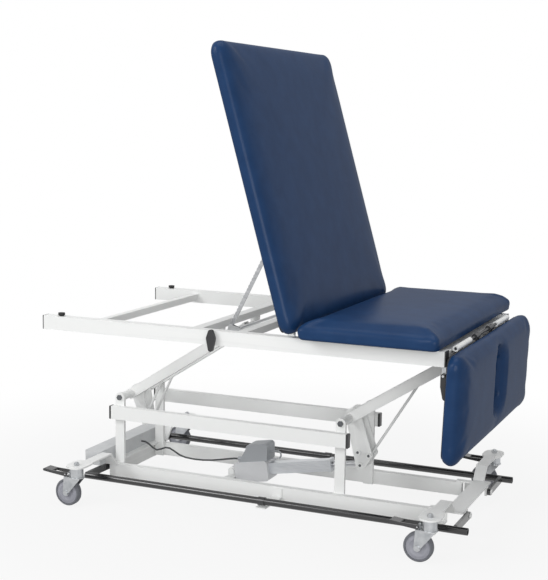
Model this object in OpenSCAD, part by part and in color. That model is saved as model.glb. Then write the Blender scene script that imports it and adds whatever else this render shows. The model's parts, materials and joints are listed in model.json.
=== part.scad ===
// Treatment table on an electric lift frame with a lifted back section,
// a seat and a hanging drop section with a face opening.
// X runs along the table, Y across it and Z up. The origin lies on the floor
// under the middle of the table in the pose that is drawn.

/* [Top frame] */
// Length of the two long top rails
rail_len = 1524; // [1480:1:1560]
// Width over the outer faces of the top rails
frame_w = 889; // [850:1:930]
// Height of the rail tube
rail_h = 50.8; // [46:0.1:56]
// Width of the rail tube
rail_w = 38.1; // [32:0.1:44]
// Wall of every rectangular tube
tube_wall = 2; // [1.5:0.1:3]
// Reach of the top rails beyond the right upper pivots
rail_over = 24.31; // [22:0.01:28]

/* [Lift] */
// Distance between the pivots of a lift arm
arm_len = 508; // [490:1:525]
// Lean of the arms above the floor in the drawn pose
arm_lean = 32.7; // [25:0.1:40]
// Distance between the two lower pivots
pivot_span = 914.4; // [880:0.1:950]
// Middle of the two lower pivots along the table
pivot_mid_x = -188.5; // [-200:0.5:-175]
// Height of the lower pivots
pivot_z = 359; // [350:1:370]
// Drop from the rails down to the upper pivots
pivot_drop = 25.4; // [24:0.1:30]
// Side of the square arm tube
arm_tube = 38.1; // [32:0.1:42]
// Half of the width over one pair of arm tubes
arm_half_w = 75; // [70:0.5:85]
// Diameter of the pivot bolts
bolt_d = 12.7; // [10:0.1:16]

/* [Base] */
// Width over the outer faces of the base rails
base_w = 381; // [360:1:400]
// Left end of the base rails
base_x0 = -670.5; // [-680:0.5:-665]
// Right end of the base rails
base_x1 = 635.5; // [600:0.5:650]
// Height of the base and mid rail tube
base_rail_h = 50.8; // [46:0.1:54]
// Width of the base and mid rail tube
base_rail_w = 25.4; // [20:0.1:30]
// Height of the top of the base rails
base_top = 100.6; // [96:0.1:104]
// Height of the top of the mid rails
mid_top = 327.6; // [322:0.1:330]
// Right end of the mid rails
mid_x1 = 298.5; // [290:0.5:310]
// Width of the flat posts
post_w = 38.1; // [30:0.1:44]
// Thickness of the flat posts
post_t = 12.7; // [10:0.1:14]

/* [Casters] */
// Wheel diameter
wheel_d = 102; // [98:0.5:106]
// Wheel width
wheel_w = 32; // [28:0.5:36]
// Trail from the stem to the wheel axle
trail = 36; // [30:0.5:40]
// Distance between the stems across the table
stem_w = 884; // [860:1:900]
// Left pair of stems along the table
stem_x0 = -666.5; // [-675:0.5:-660]
// Right pair of stems along the table
stem_x1 = 690.5; // [684:0.5:696]

/* [Cushions] */
// Width of every cushion
cushion_w = 1016; // [980:1:1040]
// Length of the back section
back_len = 1008; // [980:1:1020]
// Lean of the back section above flat in the drawn pose
back_lean = 73.75; // [60:0.25:74]
// Length of the seat
seat_len = 475; // [460:1:480]
// Length of the drop section
drop_len = 366; // [350:1:376]
// Drop of the hanging section below flat
drop_lean = 91.8; // [88:0.1:92]
// Thickness of a cushion at its edge with its board
pad_t = 61.5; // [56:0.5:66]
// Thickness of the boards
board_t = 19; // [16:0.5:22]
// Rise of the cushions in the middle
crown = 9; // [4:0.5:12]
// Corner radius of the cushions in plan
corner_r = 45; // [35:1:60]
// Width of the face opening
face_w = 138; // [110:1:160]
// Length of the face opening
face_len = 240; // [200:1:260]

/* [Foot bars] */
// Diameter of the foot bars
foot_bar_d = 25.4; // [22:0.1:28]
// Distance of each foot bar from the middle of the table
foot_bar_y = 330; // [310:1:340]
// Height of the foot bars
foot_bar_z = 86; // [82:0.5:90]

/* [Actuator] */
// Rear pin along the table
rear_pin_x = -225.5; // [-230:0.5:-220]
// Rear pin height
rear_pin_z = 84; // [80:0.5:90]
// Length from the lower arm pivot to the crank pin
crank_r = 186; // [180:1:190]
// Direction of the crank from the lower arm pivot
crank_dir = -79.8; // [-84:0.1:-76]

/* [Hidden] */
$fn = 40;

// Clearances and overruns
over = 1;
run_fit = 0.05;
pass_fit = 0.6;
side_fit = 0.3;
tube_fit = 0.1;

// Colours
paint = [0.87, 0.88, 0.88];
steel = [0.62, 0.64, 0.66];
zinc = [0.7, 0.73, 0.75];
black = [0.1, 0.1, 0.11];
grey = [0.5, 0.52, 0.54];
tread = [0.28, 0.29, 0.31];
hub_grey = [0.6, 0.61, 0.66];
vinyl = [0.14, 0.24, 0.42];
ply = [0.1, 0.14, 0.22];

// Heights and ends worked out from the driving sizes
upper_dx = arm_len * cos(arm_lean);
upper_z = pivot_z + arm_len * sin(arm_lean);
rail_z0 = upper_z + pivot_drop;
rail_z1 = rail_z0 + rail_h;
rail_y1 = frame_w / 2;
rail_y0 = rail_y1 - rail_w;
low_x0 = pivot_mid_x - pivot_span / 2;
low_x1 = pivot_mid_x + pivot_span / 2;
up_x0 = low_x0 + upper_dx;
up_x1 = low_x1 + upper_dx;
rail_x1 = up_x1 + rail_over;
rail_x0 = rail_x1 - rail_len;
base_y1 = base_w / 2;
base_y0 = base_y1 - base_rail_w;
base_z0 = base_top - base_rail_h;
mid_z0 = mid_top - base_rail_h;
post_y1 = base_y0;
post_y0 = post_y1 - post_t;
wheel_r = wheel_d / 2;
stem_y = stem_w / 2;

// Cross tubes of the top frame
cross_drop = 12.7;
cross_h = 25.4;
cross_w = 38.1;
cross_z1 = rail_z1 - cross_drop;
cross_z0 = cross_z1 - cross_h;
head_tube_w = 25.4;
head_tube_in = 192.5;
seat_tube_in = 761;
head_tube_x = rail_x0 + head_tube_in;
seat_tube_x = rail_x1 - seat_tube_in;
tube_places = [[head_tube_x, head_tube_w], [up_x0, cross_w], [seat_tube_x, cross_w], [up_x1, cross_w]];

// Rectangular tube between two corners, hollow along X or Y
module tube_x(x0, x1, y0, y1, z0, z1, wall) {
    difference() {
        translate([x0, y0, z0])
            cube([x1 - x0, y1 - y0, z1 - z0]);
        translate([x0 - over, y0 + wall, z0 + wall])
            cube([x1 - x0 + 2 * over, y1 - y0 - 2 * wall, z1 - z0 - 2 * wall]);
    }
}

module tube_y(x0, x1, y0, y1, z0, z1, wall) {
    difference() {
        translate([x0, y0, z0])
            cube([x1 - x0, y1 - y0, z1 - z0]);
        translate([x0 + wall, y0 - over, z0 + wall])
            cube([x1 - x0 - 2 * wall, y1 - y0 + 2 * over, z1 - z0 - 2 * wall]);
    }
}

// Plain block between two corners
module block(x0, x1, y0, y1, z0, z1) {
    translate([x0, y0, z0])
        cube([x1 - x0, y1 - y0, z1 - z0]);
}

// Round bars along each axis
module round_x(y, z, r, x0, x1) {
    translate([x0, y, z])
        rotate([0, 90, 0])
            cylinder(r = r, h = x1 - x0);
}

module round_y(x, z, r, y0, y1) {
    translate([x, y0, z])
        rotate([-90, 0, 0])
            cylinder(r = r, h = y1 - y0);
}

module round_z(x, y, r, z0, z1) {
    translate([x, y, z0])
        cylinder(r = r, h = z1 - z0);
}

// An outline drawn in X and Z, made a slab from y0 to y1
module slab_y(y0, y1) {
    translate([0, y1, 0])
        rotate([90, 0, 0])
            linear_extrude(height = y1 - y0)
                children();
}

// An outline drawn in Y and Z, made a slab from x0 to x1
module slab_x(x0, x1) {
    translate([x0, 0, 0])
        rotate([90, 0, 90])
            linear_extrude(height = x1 - x0)
                children();
}

// Two rounds joined by their outer tangents
module link(x1, z1, r1, x2, z2, r2) {
    gap = norm([x2 - x1, z2 - z1]);
    dir = atan2(z2 - z1, x2 - x1);
    open = acos((r1 - r2) / gap);
    translate([x1, z1])
        circle(r = r1);
    translate([x2, z2])
        circle(r = r2);
    polygon([
        [x1 + r1 * cos(dir + open), z1 + r1 * sin(dir + open)],
        [x1 + r1 * cos(dir - open), z1 + r1 * sin(dir - open)],
        [x2 + r2 * cos(dir - open), z2 + r2 * sin(dir - open)],
        [x2 + r2 * cos(dir + open), z2 + r2 * sin(dir + open)]]);
}

// The same piece on both sides of the middle plane
module both_sides() {
    children();
    mirror([0, 1, 0])
        children();
}

// Hexagon nut or bolt head, axis along Z
module hex_z(x, y, r, z0, z1) {
    translate([x, y, z0])
        cylinder(r = r, h = z1 - z0, $fn = 6);
}

module hex_y(x, z, r, y0, y1) {
    translate([x, y0, z])
        rotate([-90, 0, 0])
            cylinder(r = r, h = y1 - y0, $fn = 6);
}

// Long rails of the top frame
shaft_d = 12;
shaft_in = 828.5;
shaft_x = rail_x1 - shaft_in;
shaft_z = rail_z0 + rail_h / 2;

module top_rail_front() {
    color(paint)
        difference() {
            tube_x(rail_x0, rail_x1, -rail_y1, -rail_y0, rail_z0, rail_z1, tube_wall);
            round_y(shaft_x, shaft_z, shaft_d / 2 + run_fit, -rail_y1 - over, -rail_y0 + over);
        }
}

module top_rail_back() {
    color(paint)
        difference() {
            tube_x(rail_x0, rail_x1, rail_y0, rail_y1, rail_z0, rail_z1, tube_wall);
            round_y(shaft_x, shaft_z, shaft_d / 2 + run_fit, rail_y0 - over, rail_y0 + tube_wall + over);
        }
}

module cross_tubes() {
    color(paint)
        for (place = tube_places)
            tube_y(place[0] - place[1] / 2, place[0] + place[1] / 2, -rail_y0, rail_y0,
                cross_z0, cross_z1, tube_wall);
}

// Black plugs in the ends of the long rails
cap_t = 4;
cap_in = 14;

module rail_plug(x, side, y0, y1, z0, z1, t, grow) {
    block(min(x, x + side * t), max(x, x + side * t), y0 - grow, y1 + grow, z0 - grow, z1 + grow);
    block(min(x, x - side * cap_in), max(x, x - side * cap_in), y0 + tube_wall + tube_fit,
        y1 - tube_wall - tube_fit, z0 + tube_wall + tube_fit, z1 - tube_wall - tube_fit);
}

module top_rail_caps() {
    color(black)
        both_sides() {
            rail_plug(rail_x0, -1, rail_y0, rail_y1, rail_z0, rail_z1, cap_t, 0);
            rail_plug(rail_x1, 1, rail_y0, rail_y1, rail_z0, rail_z1, cap_t, 0);
        }
}

// Rubber bumpers that the flat back section rests on, and the seat's spacers
bumper_in = 66;
bumper_x = rail_x0 + bumper_in;
bumper_d = 25;
bumper_h = 12;
bumper_neck_d = 17;
bumper_neck_h = 3;
seat_lift = 5;
spacer_d = 30;
spacer_in = 60;

module bumpers() {
    color(black)
        both_sides() {
            round_z(bumper_x, rail_y1 - rail_w / 2, bumper_neck_d / 2, rail_z1, rail_z1 + bumper_neck_h);
            round_z(bumper_x, rail_y1 - rail_w / 2, bumper_d / 2, rail_z1 + bumper_neck_h, rail_z1 + bumper_h);
            for (x = [seat_x0 + spacer_in, seat_x1 - spacer_in])
                round_z(x, rail_y1 - rail_w / 2, spacer_d / 2, rail_z1, rail_z1 + seat_lift);
        }
}

// Plates that hang from the cross tubes and carry the upper pivots
hanger_t = 8;
hanger_y0 = post_y0 + side_fit;
hanger_r = 19;
head_r = 11;
head_t = 7;

module pivot_hangers() {
    for (x = [up_x0, up_x1])
        both_sides() {
            color(paint)
                difference() {
                    slab_y(hanger_y0, hanger_y0 + hanger_t) {
                        translate([x, upper_z])
                            circle(r = hanger_r);
                        translate([x - hanger_r, upper_z])
                            square([2 * hanger_r, cross_z0 - upper_z]);
                    }
                    round_y(x, upper_z, bolt_d / 2, hanger_y0 - over, hanger_y0 + hanger_t + over);
                }
            color(zinc) {
                round_y(x, upper_z, bolt_d / 2, arm_half_w, hanger_y0 + hanger_t);
                hex_y(x, upper_z, head_r, hanger_y0 + hanger_t, hanger_y0 + hanger_t + head_t);
            }
        }
}

// Lift arms: two square tubes side by side on each pivot pair
arm_in = arm_half_w - arm_tube;
arm_end = 19.05;
pivot_tube_d = 31.8;
arm_wall = 3;

module arm_pair(x) {
    color(paint)
        translate([x, 0, pivot_z])
            rotate([0, -arm_lean, 0])
                both_sides()
                    difference() {
                        tube_x(-arm_end, arm_len + arm_end, arm_in, arm_half_w, -arm_tube / 2, arm_tube / 2,
                            arm_wall);
                        for (at = [0, arm_len])
                            round_y(at, 0, pivot_tube_d / 2 + tube_fit, arm_in - over, arm_half_w + over);
                    }
}

// Room that the pair of arm tubes takes up, solid
module arm_space(x) {
    translate([x, 0, pivot_z])
        rotate([0, -arm_lean, 0])
            block(-arm_end, arm_len + arm_end, arm_in, arm_half_w, -arm_tube / 2, arm_tube / 2);
}

module main_arm_tubes() {
    arm_pair(low_x1);
}

module second_arm_tubes() {
    arm_pair(low_x0);
}

// Pivot tubes that turn on the bolts at the posts and at the hangers
module pivot_tube(x, z) {
    color(paint)
        difference() {
            round_y(x, z, pivot_tube_d / 2, -(post_y0 - side_fit), post_y0 - side_fit);
            round_y(x, z, bolt_d / 2 + run_fit, -post_y0, post_y0);
        }
}

module main_pivot_tubes() {
    pivot_tube(low_x1, pivot_z);
    pivot_tube(up_x1, upper_z);
}

module second_pivot_tubes() {
    color(paint)
        difference() {
            round_y(low_x0, pivot_z, pivot_tube_d / 2, -(post_y0 - side_fit), post_y0 - side_fit);
            round_y(low_x0, pivot_z, bolt_d / 2 + run_fit, -post_y0, post_y0);
        }
    color(paint)
        difference() {
            round_y(up_x0, upper_z, pivot_tube_d / 2, -(post_y0 - side_fit), post_y0 - side_fit);
            round_y(up_x0, upper_z, bolt_d / 2 + pass_fit, -post_y0, post_y0);
        }
}

// Crank plates of the main arm with their cross bolts and the stay rod up to a bar between the arm tubes
crank_t = 8;
crank_y0 = 24;
crank_root_r = 30;
crank_tip_r = 19;
crank_x = low_x1 + crank_r * cos(crank_dir);
crank_z = pivot_z + crank_r * sin(crank_dir);
cross_pin_x = 291.5;
cross_pin_z = 224;
stay_pin_x = 334;
stay_pin_z = 216;
stay_pin_r = 13;
stay_d = 10;
pin_d = 12;
stay_bar_share = 0.5516;
stay_bar_drop = 10;
stay_bar_r = 8;

module crank_plates() {
    stay_top = [low_x1 + arm_len * stay_bar_share * cos(arm_lean) + stay_bar_drop * sin(arm_lean),
        pivot_z + arm_len * stay_bar_share * sin(arm_lean) - stay_bar_drop * cos(arm_lean)];
    stay_run = stay_top - [stay_pin_x, stay_pin_z];
    color(paint)
        both_sides()
            difference() {
                slab_y(crank_y0, crank_y0 + crank_t) {
                    link(low_x1, pivot_z, crank_root_r, crank_x, crank_z, crank_tip_r);
                    link(low_x1, pivot_z, crank_root_r, stay_pin_x, stay_pin_z, stay_pin_r);
                    link(crank_x, crank_z, crank_tip_r, stay_pin_x, stay_pin_z, stay_pin_r);
                }
                round_y(low_x1, pivot_z, pivot_tube_d / 2 + tube_fit, crank_y0 - over, crank_y0 + crank_t + over);
            }
    color(zinc) {
        round_y(cross_pin_x, cross_pin_z, pin_d / 2, -crank_y0, crank_y0);
        round_y(stay_pin_x, stay_pin_z, pin_d / 2, -crank_y0, crank_y0);
        round_y(stay_top[0], stay_top[1], stay_bar_r, -arm_in, arm_in);
        translate([stay_pin_x, 0, stay_pin_z])
            rotate([0, 90 - atan2(stay_run[1], stay_run[0]), 0])
                cylinder(r = stay_d / 2, h = norm(stay_run));
        both_sides() {
            hex_y(cross_pin_x, cross_pin_z, pin_d, crank_y0 + crank_t, crank_y0 + crank_t + head_t);
            hex_y(crank_x, crank_z, pin_d, crank_y0 + crank_t, crank_y0 + crank_t + head_t);
            hex_y(stay_pin_x, stay_pin_z, pin_d, crank_y0 + crank_t, crank_y0 + crank_t + head_t);
        }
    }
}

// Stay plates of the second arm
stay_plate_x = -610;
stay_plate_z = 238;
stay_plate_r = 15;
stay_root_r = 28;
gusset_share = 0.25;

module second_stay_plates() {
    top = [low_x0 + arm_len * gusset_share * cos(arm_lean) + arm_tube / 2 * sin(arm_lean),
        pivot_z + arm_len * gusset_share * sin(arm_lean) - arm_tube / 2 * cos(arm_lean)];
    color(paint)
        both_sides()
            difference() {
                slab_y(crank_y0, crank_y0 + crank_t) {
                    link(low_x0, pivot_z, stay_root_r, stay_plate_x, stay_plate_z, stay_plate_r);
                }
                round_y(low_x0, pivot_z, pivot_tube_d / 2 + tube_fit, crank_y0 - over, crank_y0 + crank_t + over);
            }
    color(zinc) {
        round_y(stay_plate_x, stay_plate_z, pin_d / 2, -crank_y0, crank_y0);
        both_sides() {
            round_y(stay_plate_x, stay_plate_z, pin_d / 2, crank_y0 + crank_t, arm_in + stay_d);
            difference() {
                translate([stay_plate_x, arm_in + stay_d / 2, stay_plate_z])
                    rotate([0, 90 - atan2(top[1] - stay_plate_z, top[0] - stay_plate_x), 0])
                        cylinder(r = stay_d / 2, h = norm(top - [stay_plate_x, stay_plate_z]) + stay_d);
                arm_space(low_x0);
            }
        }
    }
}

// Base rails, mid rails and posts
module base_rail_front() {
    color(paint)
        tube_x(base_x0, base_x1, -base_y1, -base_y0, base_z0, base_top, tube_wall);
}

module base_rail_back() {
    color(paint)
        tube_x(base_x0, base_x1, base_y0, base_y1, base_z0, base_top, tube_wall);
}

module mid_rail_front() {
    color(paint)
        tube_x(base_x0, mid_x1, -base_y1, -base_y0, mid_z0, mid_top, tube_wall);
}

module mid_rail_back() {
    color(paint)
        tube_x(base_x0, mid_x1, base_y0, base_y1, mid_z0, mid_top, tube_wall);
}

mid_cap_t = 8;

module mid_rail_caps() {
    color(black)
        both_sides()
            for (end = [[base_x0, -1], [mid_x1, 1]])
                rail_plug(end[0], end[1], base_y0, base_y1, mid_z0, mid_top, mid_cap_t, 0);
}

post_r = post_w / 2;

module posts() {
    color(paint)
        both_sides()
            for (x = [low_x0, low_x1])
                difference() {
                    slab_y(post_y0, post_y1) {
                        translate([x, pivot_z])
                            circle(r = post_r);
                        translate([x - post_r, base_z0])
                            square([post_w, pivot_z - base_z0]);
                    }
                    round_y(x, pivot_z, bolt_d / 2, post_y0 - over, post_y1 + over);
                }
}

module pivot_bolts() {
    color(zinc)
        both_sides()
            for (x = [low_x0, low_x1]) {
                round_y(x, pivot_z, bolt_d / 2, arm_half_w, post_y1);
                hex_y(x, pivot_z, head_r, post_y1, post_y1 + head_t);
            }
}

// End plates with raised ears for the caster stems
plate_t = 6;
strip_w = 64;
neck_w = 42;
ear_r = 38;
ear_z0 = 150;
rise_y0 = 206;
rise_y1 = 250;
strip_off = 14;
left_neck_off = 11;
stem_d = 12;

module ear_half(x_strip, x_stem, x_neck) {
    difference() {
        union() {
            block(x_strip - strip_w / 2, x_strip + strip_w / 2, 0, rise_y0, base_top, base_top + plate_t);
            slab_x(x_neck - neck_w / 2, x_neck + neck_w / 2)
                polygon([[rise_y0 - plate_t, base_top], [rise_y0, base_top], [rise_y1, ear_z0],
                    [rise_y1, ear_z0 + plate_t], [rise_y1 - plate_t, ear_z0 + plate_t],
                    [rise_y0 - plate_t, base_top + plate_t]]);
            block(x_neck - neck_w / 2, x_neck + neck_w / 2, rise_y1 - plate_t, stem_y - ear_r, ear_z0, ear_z0 + plate_t);
            translate([0, 0, ear_z0])
                linear_extrude(height = plate_t)
                    link(x_stem, stem_y - ear_r, ear_r, x_stem, stem_y, ear_r);
        }
        round_z(x_stem, stem_y, stem_d / 2, ear_z0 - over, ear_z0 + plate_t + over);
    }
}

module left_end_plate() {
    color(paint)
        both_sides()
            difference() {
                ear_half(stem_x0 - strip_off, stem_x0, stem_x0 + left_neck_off);
                block(low_x0 - post_r - side_fit, low_x0 + post_r + side_fit, post_y0 - side_fit, post_y1 + side_fit,
                    base_top - over, base_top + plate_t + over);
            }
}

tab_x0 = 613.5;

module right_end_plate() {
    color(paint)
        both_sides() {
            ear_half(stem_x1 + strip_off, stem_x1, stem_x1);
            block(tab_x0, stem_x1, base_y0, base_y1, base_top, base_top + plate_t);
        }
}

// Upright plate between the left ends of the base rails
cross_plate_t = 6;
cross_plate_z0 = 42;
small_hole_r = 4;
small_hole_in = 40;
box_z1 = 160;

module left_cross_plate() {
    color(paint)
        difference() {
            block(base_x0 - cross_plate_t, base_x0, -base_y1, base_y1, cross_plate_z0, base_top);
            for (y = [-base_y1 + small_hole_in, base_y1 - small_hole_in])
                round_x(y, base_z0 + small_hole_in / 2, small_hole_r, base_x0 - cross_plate_t - over, base_x0 + over);
        }
}

// Control box with its lid seam, cable outlet and power socket
box_x0 = -746.5;
box_x1 = -677;
box_y0 = -260;
box_y1 = 240;
box_r = 8;
socket_w = 28;
socket_h = 20;
socket_deep = 12;

module control_box() {
    z0 = base_top + plate_t;
    color(grey)
        difference() {
            translate([0, 0, z0])
                linear_extrude(height = box_z1 - z0)
                    union() {
                        translate([box_x0 + box_r, box_y0])
                            square([box_x1 - box_x0 - 2 * box_r, box_y1 - box_y0]);
                        translate([box_x0, box_y0 + box_r])
                            square([box_x1 - box_x0, box_y1 - box_y0 - 2 * box_r]);
                        for (x = [box_x0 + box_r, box_x1 - box_r])
                            for (y = [box_y0 + box_r, box_y1 - box_r])
                                translate([x, y])
                                    circle(r = box_r);
                    }
            block(box_x0 - over, box_x0 + socket_deep, -socket_w / 2, socket_w / 2, (z0 + box_z1 - socket_h) / 2,
                (z0 + box_z1 + socket_h) / 2);
        }
}

// Cable from the control box to the motor along its real route
cable_r = 3.5;
cable_sides = 8;
cable_path = [[-677, 60, 128], [-660, 60, 128], [-640, 58, 120], [-618, 52, 108], [-598, 46, 104], [-575, 40, 112],
    [-552, 34, 122], [-530, 28, 124], [-505, 22, 116], [-480, 16, 106], [-450, 12, 100], [-410, 10, 98],
    [-370, 8, 100], [-330, 6, 105], [-295, 4, 112], [-260, 2, 120], [-232, 0, 126], [-214, 0, 128], [-204, 0, 129.5]];

function unit(v) = v / norm(v);

function path_dir(p, i) =
    i == 0 ? unit(p[1] - p[0]) :
    i == len(p) - 1 ? unit(p[i] - p[i - 1]) :
    unit(unit(p[i + 1] - p[i]) + unit(p[i] - p[i - 1]));

function path_ring(p, i) =
    let (d = path_dir(p, i), u = unit(cross(d, [0, 0, 1])), w = cross(d, u))
    [for (k = [0 : cable_sides - 1])
        p[i] + cable_r * (cos(360 * k / cable_sides) * u + sin(360 * k / cable_sides) * w)];

module swept_cord(p) {
    n = cable_sides;
    pts = [for (i = [0 : len(p) - 1]) each path_ring(p, i)];
    sides = [for (i = [0 : len(p) - 2]) for (k = [0 : n - 1])
        each [[i * n + k, (i + 1) * n + k, i * n + (k + 1) % n],
            [(i + 1) * n + k, (i + 1) * n + (k + 1) % n, i * n + (k + 1) % n]]];
    first = [for (k = [1 : n - 2]) [0, k, k + 1]];
    last = [for (k = [1 : n - 2]) [(len(p) - 1) * n, (len(p) - 1) * n + k + 1, (len(p) - 1) * n + k]];
    polyhedron(points = pts, faces = concat(sides, first, last));
}

module actuator_cable() {
    color(black)
        swept_cord(cable_path);
}

// Anchor on a cross bar between the base rails for the actuator's rear pin
anchor_w = 38;
anchor_t = 6;
anchor_y0 = 23;
anchor_r = 16;

module actuator_anchor() {
    color(paint) {
        tube_y(rear_pin_x - anchor_w / 2, rear_pin_x + anchor_w / 2, -base_y0, base_y0,
            base_z0, base_z0 + anchor_r, tube_wall);
        both_sides()
            difference() {
                slab_y(anchor_y0, anchor_y0 + anchor_t) {
                    translate([rear_pin_x, rear_pin_z])
                        circle(r = anchor_r);
                    translate([rear_pin_x - anchor_r, base_z0 + anchor_r])
                        square([2 * anchor_r, rear_pin_z - base_z0 - anchor_r]);
                }
                round_y(rear_pin_x, rear_pin_z, pin_d / 2, anchor_y0 - over, anchor_y0 + anchor_t + over);
            }
    }
    color(zinc) {
        round_y(rear_pin_x, rear_pin_z, pin_d / 2, -anchor_y0 - anchor_t, anchor_y0 + anchor_t);
        both_sides()
            round_y(rear_pin_x, rear_pin_z, pin_d, anchor_y0 + anchor_t, anchor_y0 + anchor_t + head_t);
    }
}

// Actuator body: gear box, motor hood and square outer tube leaning up to the crank pin
act_lean = atan2(crank_z - rear_pin_z, crank_x - rear_pin_x);
act_len = norm([crank_x - rear_pin_x, crank_z - rear_pin_z]);
eye_r = 15;
eye_w = 40;
gear_x0 = 18;
gear_x1 = 158;
gear_z0 = -44;
gear_z1 = 34;
gear_w = 84;
gear_r = 12;
hood_w = 76;
hood_h = 66;
hood_x0 = 40;
hood_x1 = 168;
hood_x2 = 92;
hood_r = 14;
hood_drop = 8;
out_h = 42;
out_w = 42;
out_x1 = 412;
collar_t = 14;
collar_grow = 2;
rod_d = 22;
out_wall = 4;

module place_actuator() {
    translate([rear_pin_x, 0, rear_pin_z])
        rotate([0, -act_lean, 0])
            children();
}

// Gland that the cable enters
gland_r = 8;
gland_sink = 1;
gland_z = gear_z1 + gland_r - gland_sink;
gland_x0 = 22;
gland_deep = 12;
gland_bore_r = 5;

// Short lead that loops from the hood back to the tube
jumper_r = 3;
jumper_bend = 15;
jumper_run = 22;
jumper_z = gear_z1 + 14;

module jumper() {
    for (z = [jumper_z - jumper_bend, jumper_z + jumper_bend])
        round_x(0, z, jumper_r, hood_x1 - 2 * hood_r, hood_x1 + jumper_run);
    translate([hood_x1 + jumper_run, 0, jumper_z])
        rotate([90, 0, 0])
            rotate([0, 0, -90])
                rotate_extrude(angle = 180)
                    translate([jumper_bend, 0])
                        circle(r = jumper_r);
}

module actuator_motor() {
    place_actuator() {
        color(zinc)
            difference() {
                union() {
                    slab_y(-gear_w / 2, gear_w / 2) {
                        translate([gear_x0 + gear_r, gear_z0])
                            square([gear_x1 - gear_x0 - 2 * gear_r, gear_z1 - gear_z0]);
                        translate([gear_x0, gear_z0 + gear_r])
                            square([gear_x1 - gear_x0, gear_z1 - gear_z0 - 2 * gear_r]);
                        for (x = [gear_x0 + gear_r, gear_x1 - gear_r])
                            for (z = [gear_z0 + gear_r, gear_z1 - gear_r])
                                translate([x, z])
                                    circle(r = gear_r);
                    }
                    slab_y(-eye_w / 2, eye_w / 2)
                        link(0, 0, eye_r, gear_x0 + gear_r, 0, gear_r);
                }
                round_y(0, 0, pin_d / 2 + run_fit, -eye_w, eye_w);
            }
        jumper();
        color(black)
            difference() {
                round_x(0, gland_z, gland_r, gland_x0, hood_x2);
                round_x(0, gland_z, gland_bore_r, gland_x0 - over, gland_x0 + gland_deep);
            }
        color(grey)
            slab_y(-hood_w / 2, hood_w / 2) {
                link(hood_x2, gear_z1 + hood_h - hood_r, hood_r, hood_x1 - hood_r, gear_z1 + hood_h - hood_r, hood_r);
                polygon([[hood_x0, gear_z1], [hood_x2 - hood_r, gear_z1 + hood_h - hood_r],
                    [hood_x1, gear_z1 + hood_h - hood_r], [hood_x1 - hood_drop, gear_z1]]);
            }
    }
}

module actuator_tube() {
    color(zinc)
        place_actuator()
            difference() {
                union() {
                    block(gear_x1, out_x1, -out_w / 2, out_w / 2, -out_h / 2, out_h / 2);
                    block(out_x1 - collar_t, out_x1, -out_w / 2 - collar_grow, out_w / 2 + collar_grow,
                        -out_h / 2 - collar_grow, out_h / 2 + collar_grow);
                }
                block(gear_x1 - over, out_x1 - collar_t, -out_w / 2 + out_wall, out_w / 2 - out_wall,
                    -out_h / 2 + out_wall, out_h / 2 - out_wall);
                round_x(0, 0, rod_d / 2 + run_fit, out_x1 - collar_t - over, out_x1 + over);
            }
}

rod_back = 112;
rod_side_gap = 2;
rod_eye_w = 2 * crank_y0 - 2 * rod_side_gap;
rod_eye_r = 15;
rod_neck = 12;

module actuator_rod() {
    color(steel)
        place_actuator() {
            round_x(0, 0, rod_d / 2, gear_x1 + rod_back, act_len - rod_neck);
            round_y(act_len, 0, rod_eye_r, -rod_d / 2, rod_d / 2);
            round_y(act_len, 0, pin_d / 2, -rod_eye_w / 2, rod_eye_w / 2);
        }
}

// Foot bars with a flat arm at each end that turns on a pin beside the end plates
bar_x1 = 790;
arm_x0 = -697;
arm_x1 = 738.5;
arm_t = 12;
arm_h = 25;
arm_pivot_y = 150;
arm_pivot_z = 84;
bar_pin_d = 10;
bar_wall = 2;

lug_t = 8;
lug_w = 30;
stop_w = 38;
stop_t = 4;
stop_gap = 5.5;
stop_x0 = 18;
stop_x1 = 641;
stop_xs = [stop_x0, stop_x1];
sleeve_t = 2.5;
sleeve_w = 26;
stop_z1 = foot_bar_z - foot_bar_d / 2 - sleeve_t - stop_gap;

module foot_bar(side) {
    color(black)
        mirror([0, side > 0 ? 0 : 1, 0]) {
            difference() {
                round_x(foot_bar_y, foot_bar_z, foot_bar_d / 2, arm_x0, bar_x1);
                round_x(foot_bar_y, foot_bar_z, foot_bar_d / 2 - bar_wall, arm_x0 + arm_t + over, bar_x1 + over);
            }
            for (x = stop_xs)
                difference() {
                    round_x(foot_bar_y, foot_bar_z, foot_bar_d / 2 + sleeve_t, x + (stop_w - sleeve_w) / 2,
                        x + (stop_w + sleeve_w) / 2);
                    round_x(foot_bar_y, foot_bar_z, foot_bar_d / 2, x, x + stop_w);
                }
            for (x = [arm_x0, arm_x1])
                difference() {
                    slab_x(x, x + arm_t)
                        link(arm_pivot_y, arm_pivot_z, arm_h / 2, foot_bar_y - foot_bar_d / 2, foot_bar_z,
                            arm_h / 2 - side_fit);
                    round_x(arm_pivot_y, arm_pivot_z, bar_pin_d / 2 + run_fit, x - over, x + arm_t + over);
                }
        }
}

module foot_bar_front() {
    foot_bar(-1);
}

module foot_bar_back() {
    foot_bar(1);
}

// Pivot lugs of the foot bars and the angles under the bars that stop them

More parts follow.
